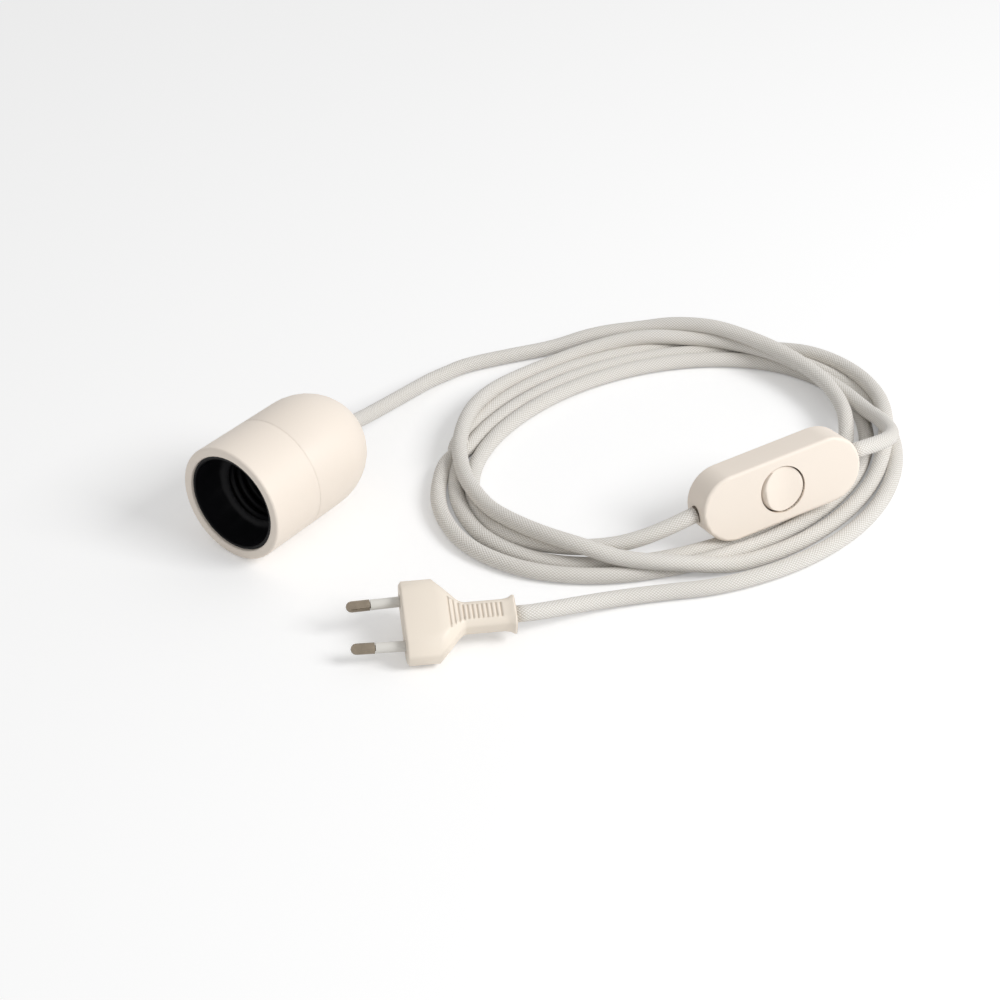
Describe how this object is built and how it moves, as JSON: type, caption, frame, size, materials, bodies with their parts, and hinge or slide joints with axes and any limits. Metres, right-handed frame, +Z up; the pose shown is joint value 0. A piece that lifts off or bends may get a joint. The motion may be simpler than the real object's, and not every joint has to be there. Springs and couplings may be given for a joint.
{
  "type": "lamp cord set",
  "caption": "Table lamp cord set: bullet-shaped screw-base lamp holder, textile cord in a loose coil, inline rocker switch and moulded flat plug.",
  "frame": {"origin": "on the surface, under the middle of the lamp holder's length", "axes": "-Y out of the lamp holder's mouth, +Y towards its cord outlet, +X towards the coil's and the plug's side, +Z up"},
  "size_m": [0.2147, 0.2707, 0.0454],
  "materials": {
    "cream_shell": "satin",
    "plug_moulding": "satin",
    "black_moulding": "gloss",
    "brass_contact": "satin",
    "nickel_metal": "satin",
    "sleeve_white": "satin",
    "textile_cord": "braided"
  },
  "bodies": {
    "set": {"holder_skirt": "cream_shell", "holder_cap": "cream_shell", "cord_bush": "cream_shell", "switch_body": "cream_shell", "switch_cover": "cream_shell", "cord_clamp_left": "cream_shell", "cord_clamp_right": "cream_shell", "socket_liner": "black_moulding", "contact_block": "black_moulding", "centre_contact": "brass_contact", "shell_contact": "brass_contact", "fixed_contact_left": "brass_contact", "fixed_contact_right": "brass_contact", "bush_nut": "nickel_metal", "terminal_screw_live": "nickel_metal", "terminal_screw_neutral": "nickel_metal", "rocker_pin": "nickel_metal", "cover_screw_left": "nickel_metal", "cover_screw_right": "nickel_metal", "plug_pin_far": "nickel_metal", "plug_pin_near": "nickel_metal", "plug_body": "plug_moulding", "pin_sleeve_far": "sleeve_white", "pin_sleeve_near": "sleeve_white", "cord_holder_tail": "textile_cord", "cord_plug_tail": "textile_cord", "cord_switch_left": "textile_cord", "cord_switch_right": "textile_cord", "cord_coil": "textile_cord"},
    "rocker": {"switch_rocker": "cream_shell", "contact_bridge": "brass_contact"}
  },
  "joints": [
    {"name": "rocker_tilt", "type": "hinge", "parent": "set", "child": "rocker", "pos_m": [0.1524, 0.09756, 0.02113], "axis": [0.2435, 0.0147, -0.9698], "range_deg": [0, 14]}
  ]
}
